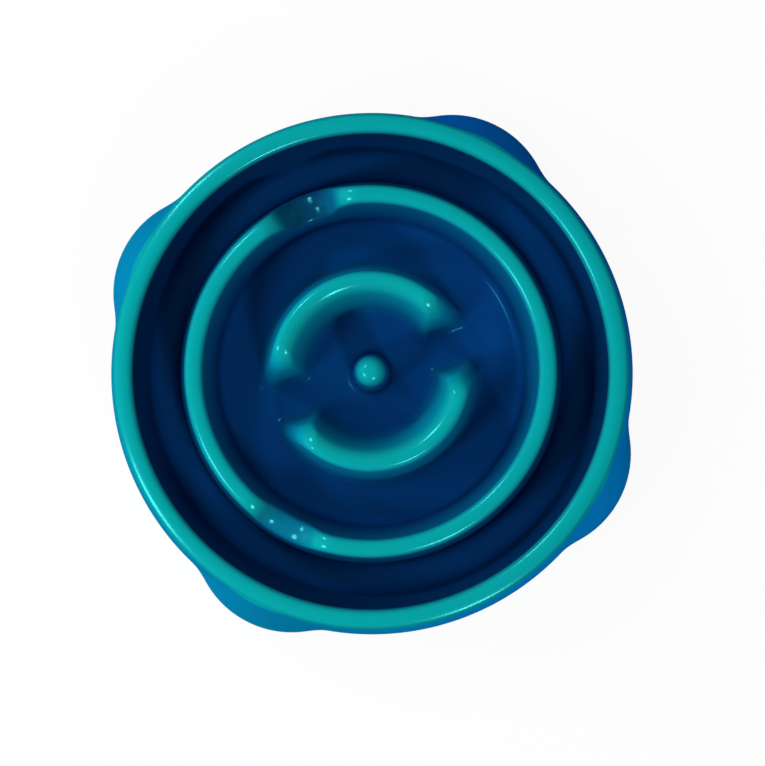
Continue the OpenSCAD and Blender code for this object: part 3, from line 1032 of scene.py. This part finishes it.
class FEEDER_OT_stage(Operator):
    """Set up the table, the soft lamps and the camera over the bowl"""

    bl_idname = "feeder.stage"
    bl_label = "Stage"

    def execute(self, context):
        scene = context.scene
        studio = scene.feeder_studio
        self.add_camera(scene, studio)
        for name, direction, height, width, power, mirrored in LAMPS:
            lamp = self.add_lamp(scene, name, width * MM, power)
            lamp.visible_glossy = mirrored
            turn = math.radians(direction) - studio.turn
            towards = Vector((1, 0, 0))
            towards.rotate(Euler((0, -math.radians(height), turn)))
            place = towards * studio.lamp_distance
            lamp.matrix_world = Matrix.LocRotScale(place, place.to_track_quat("Z", "Y"), None)
        self.add_table(studio)
        self.set_world(scene, studio)
        scene.view_settings.view_transform = "Standard"
        return {"FINISHED"}

    @staticmethod
    def add_camera(scene, studio):
        """The camera, aimed at a point on the table, with the picture's top upwards."""
        picture = Matrix.Rotation(-studio.turn, 3, "Z")
        aim = picture @ Vector((studio.aim_x, studio.aim_y, 0))
        place = picture @ Vector((studio.camera_x, studio.camera_y, studio.camera_z))
        back = (place - aim).normalized()
        right = (picture @ Vector((0, 1, 0))).cross(back).normalized()
        turned_to = Matrix((right, back.cross(right), back)).transposed()
        data = bpy.data.cameras.new("camera")
        data.lens = studio.lens
        camera = bpy.data.objects.new("camera", data)
        camera.matrix_world = Matrix.Translation(place) @ turned_to.to_4x4()
        scene.collection.objects.link(camera)
        scene.camera = camera

    @staticmethod
    def add_lamp(scene, name, width, power):
        """A round soft lamp."""
        data = bpy.data.lights.new(name, "AREA")
        data.shape = "DISK"
        data.size = width
        data.energy = power
        lamp = bpy.data.objects.new(name, data)
        scene.collection.objects.link(lamp)
        return lamp

    @staticmethod
    def add_table(studio):
        """A table that is almost white to the camera and in the gloss, and painted elsewhere."""
        bpy.ops.mesh.primitive_plane_add(size=studio.table_w, location=(0, 0, 0))
        table = bpy.context.object
        table.name = "table"
        material, sheet = new_material("table_top")
        rays = sheet.node("ShaderNodeLightPath")
        seen = rays["Is Camera Ray"].maths("MAXIMUM", rays["Is Camera Ray"], rays["Is Glossy Ray"])
        paint = sheet.node("ShaderNodeBsdfDiffuse", {}, {"Color": (*studio.table, 1)})
        white = sheet.node("ShaderNodeEmission", {}, {"Color": (1, 1, 1, 1), "Strength": 1})
        mixed = sheet.node("ShaderNodeMixShader", {}, {0: seen * studio.glow, 1: paint, 2: white})
        sheet.node("ShaderNodeOutputMaterial", {}, {"Surface": mixed})
        table.data.materials.append(material)

    @staticmethod
    def set_world(scene, studio):
        """A world that is white to the camera and lights the bowl faintly from all sides."""
        world = bpy.data.worlds.new("studio")
        world.use_nodes = True
        world.node_tree.nodes.clear()
        sheet = Wire(world.node_tree)
        seen = sheet.node("ShaderNodeLightPath")["Is Camera Ray"]
        glow = sheet.node("ShaderNodeBackground", {}, {
            "Color": (1, 1, 1, 1), "Strength": seen * (1 - studio.ambient) + studio.ambient})
        sheet.node("ShaderNodeOutputWorld", {}, {"Surface": glow})
        scene.world = world


class FEEDER_PT_panel(Panel):
    """Sizes, looks and steps of the feeder bowl"""

    bl_label = "Feeder bowl"
    bl_idname = "FEEDER_PT_panel"
    bl_space_type = "VIEW_3D"
    bl_region_type = "UI"
    bl_category = "Feeder"

    def draw(self, context):
        for group in GROUPS:
            box = self.layout.box()
            values = getattr(context.scene, group)
            for name in values.bl_rna.properties.keys():
                if name not in ("rna_type", "name"):
                    box.prop(values, name)
        for step in STEPS:
            self.layout.operator(step.bl_idname)


GROUPS = {
    "feeder_moulding": MouldingSizes,
    "feeder_feet": FootSizes,
    "feeder_detail": MeshDetail,
    "feeder_look": SurfaceLook,
    "feeder_studio": StudioSetup,
}
STEPS = (FEEDER_OT_moulding, FEEDER_OT_landings, FEEDER_OT_feet, FEEDER_OT_stage)


def register():
    for kind in (*GROUPS.values(), *STEPS, FEEDER_PT_panel):
        bpy.utils.register_class(kind)
    for name, kind in GROUPS.items():
        setattr(bpy.types.Scene, name, PointerProperty(type=kind))


def unregister():
    for name in GROUPS:
        delattr(bpy.types.Scene, name)
    for kind in reversed((*GROUPS.values(), *STEPS, FEEDER_PT_panel)):
        bpy.utils.unregister_class(kind)


def main():
    register()
    bpy.ops.feeder.moulding()
    bpy.ops.feeder.landings()
    bpy.ops.feeder.feet()
    bpy.ops.feeder.stage()


if __name__ == "__main__":
    main()
